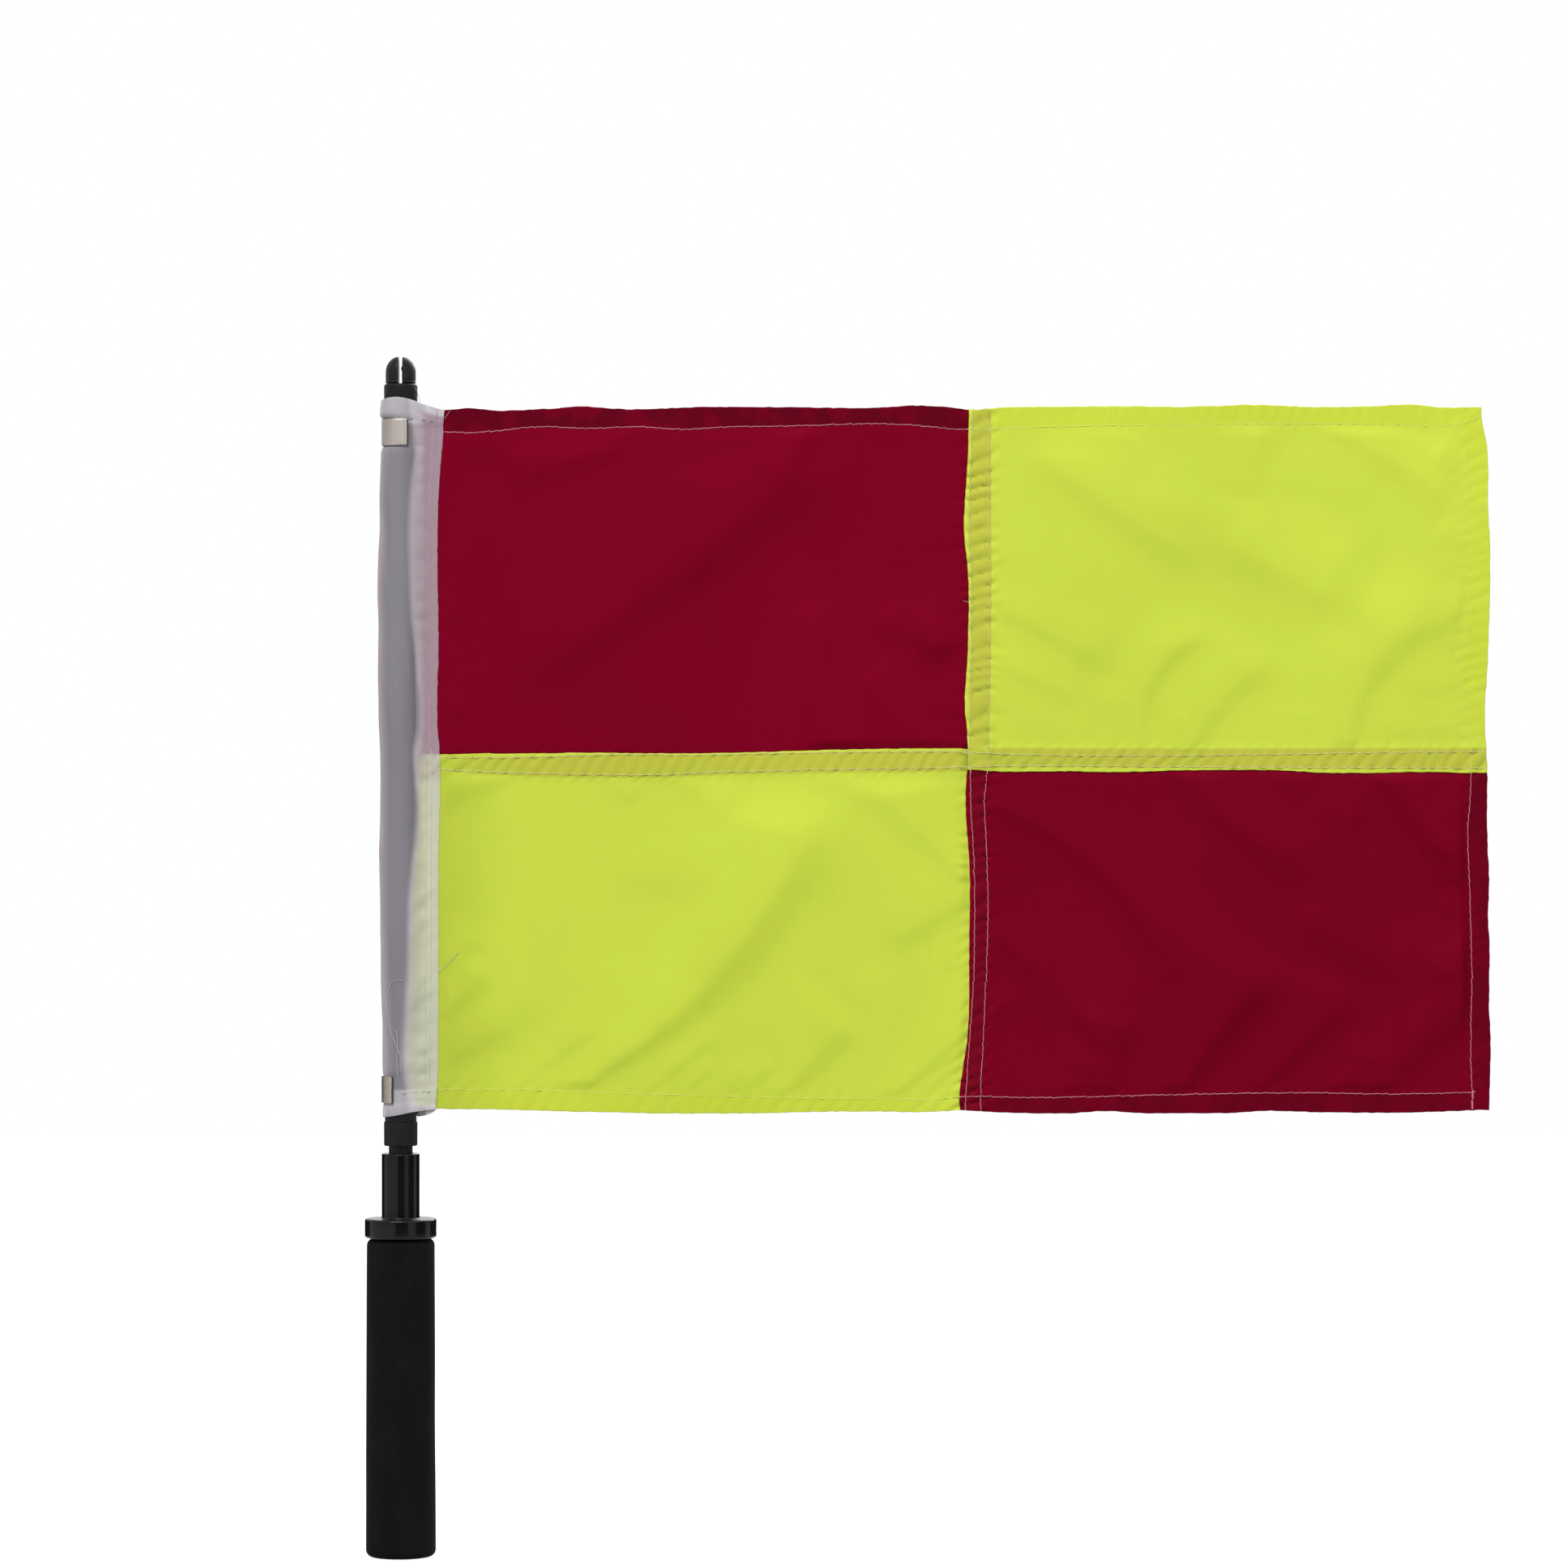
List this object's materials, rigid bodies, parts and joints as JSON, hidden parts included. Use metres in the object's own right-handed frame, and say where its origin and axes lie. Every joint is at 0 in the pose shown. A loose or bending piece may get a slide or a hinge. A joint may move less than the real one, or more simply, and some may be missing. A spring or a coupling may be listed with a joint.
{
  "type": "linesman flag",
  "caption": "Hand flag for a linesman: quartered red and yellow cloth in a white sleeve on a tube that swivels on the spindle of a foam-grip handle.",
  "frame": {"origin": "on the pole's axis at the foam grip's end face", "axes": "+Z along the pole towards the snap tip, +X from the pole to the cloth's fly edge at rest, -Y towards the cloth's front"},
  "size_m": [0.4813, 0.0308, 0.5133],
  "materials": {
    "gloss_nylon": "gloss",
    "satin_nylon": "satin",
    "black_tube": "matte",
    "black_bush": "satin",
    "black_foam": "matte",
    "red_cloth": "matte",
    "yellow_cloth": "matte",
    "white_cloth": "matte",
    "nickel": "satin",
    "white_thread": "matte",
    "pale_thread": "matte"
  },
  "bodies": {
    "handle": {"spindle": "satin_nylon", "handle_core": "gloss_nylon", "foam_grip": "black_foam", "end_plug": "satin_nylon"},
    "flag": {"swivel_tube": "black_tube", "lower_bush": "black_bush", "upper_bush": "black_bush", "hoist_sleeve": "white_cloth", "upper_clip": "nickel", "lower_clip": "nickel", "red_panel_upper": "red_cloth", "yellow_panel_upper": "yellow_cloth", "yellow_panel_lower": "yellow_cloth", "red_panel_lower": "red_cloth", "top_hem_stitching": "white_thread", "bottom_hem_stitching": "pale_thread", "fly_hem_stitching": "pale_thread", "upright_seam_stitching_left": "pale_thread", "upright_seam_stitching_right": "pale_thread", "level_seam_stitching_lower": "pale_thread", "level_seam_stitching_upper": "pale_thread", "sleeve_seam_stitching": "white_thread", "sleeve_top_hem_stitching": "white_thread", "sleeve_bottom_hem_stitching": "white_thread"}
  },
  "joints": [
    {"name": "flag_swivel", "type": "hinge", "parent": "handle", "child": "flag", "pos_m": [0, 0, 0.1757], "axis": [0, 0, 1], "continuous": true}
  ]
}
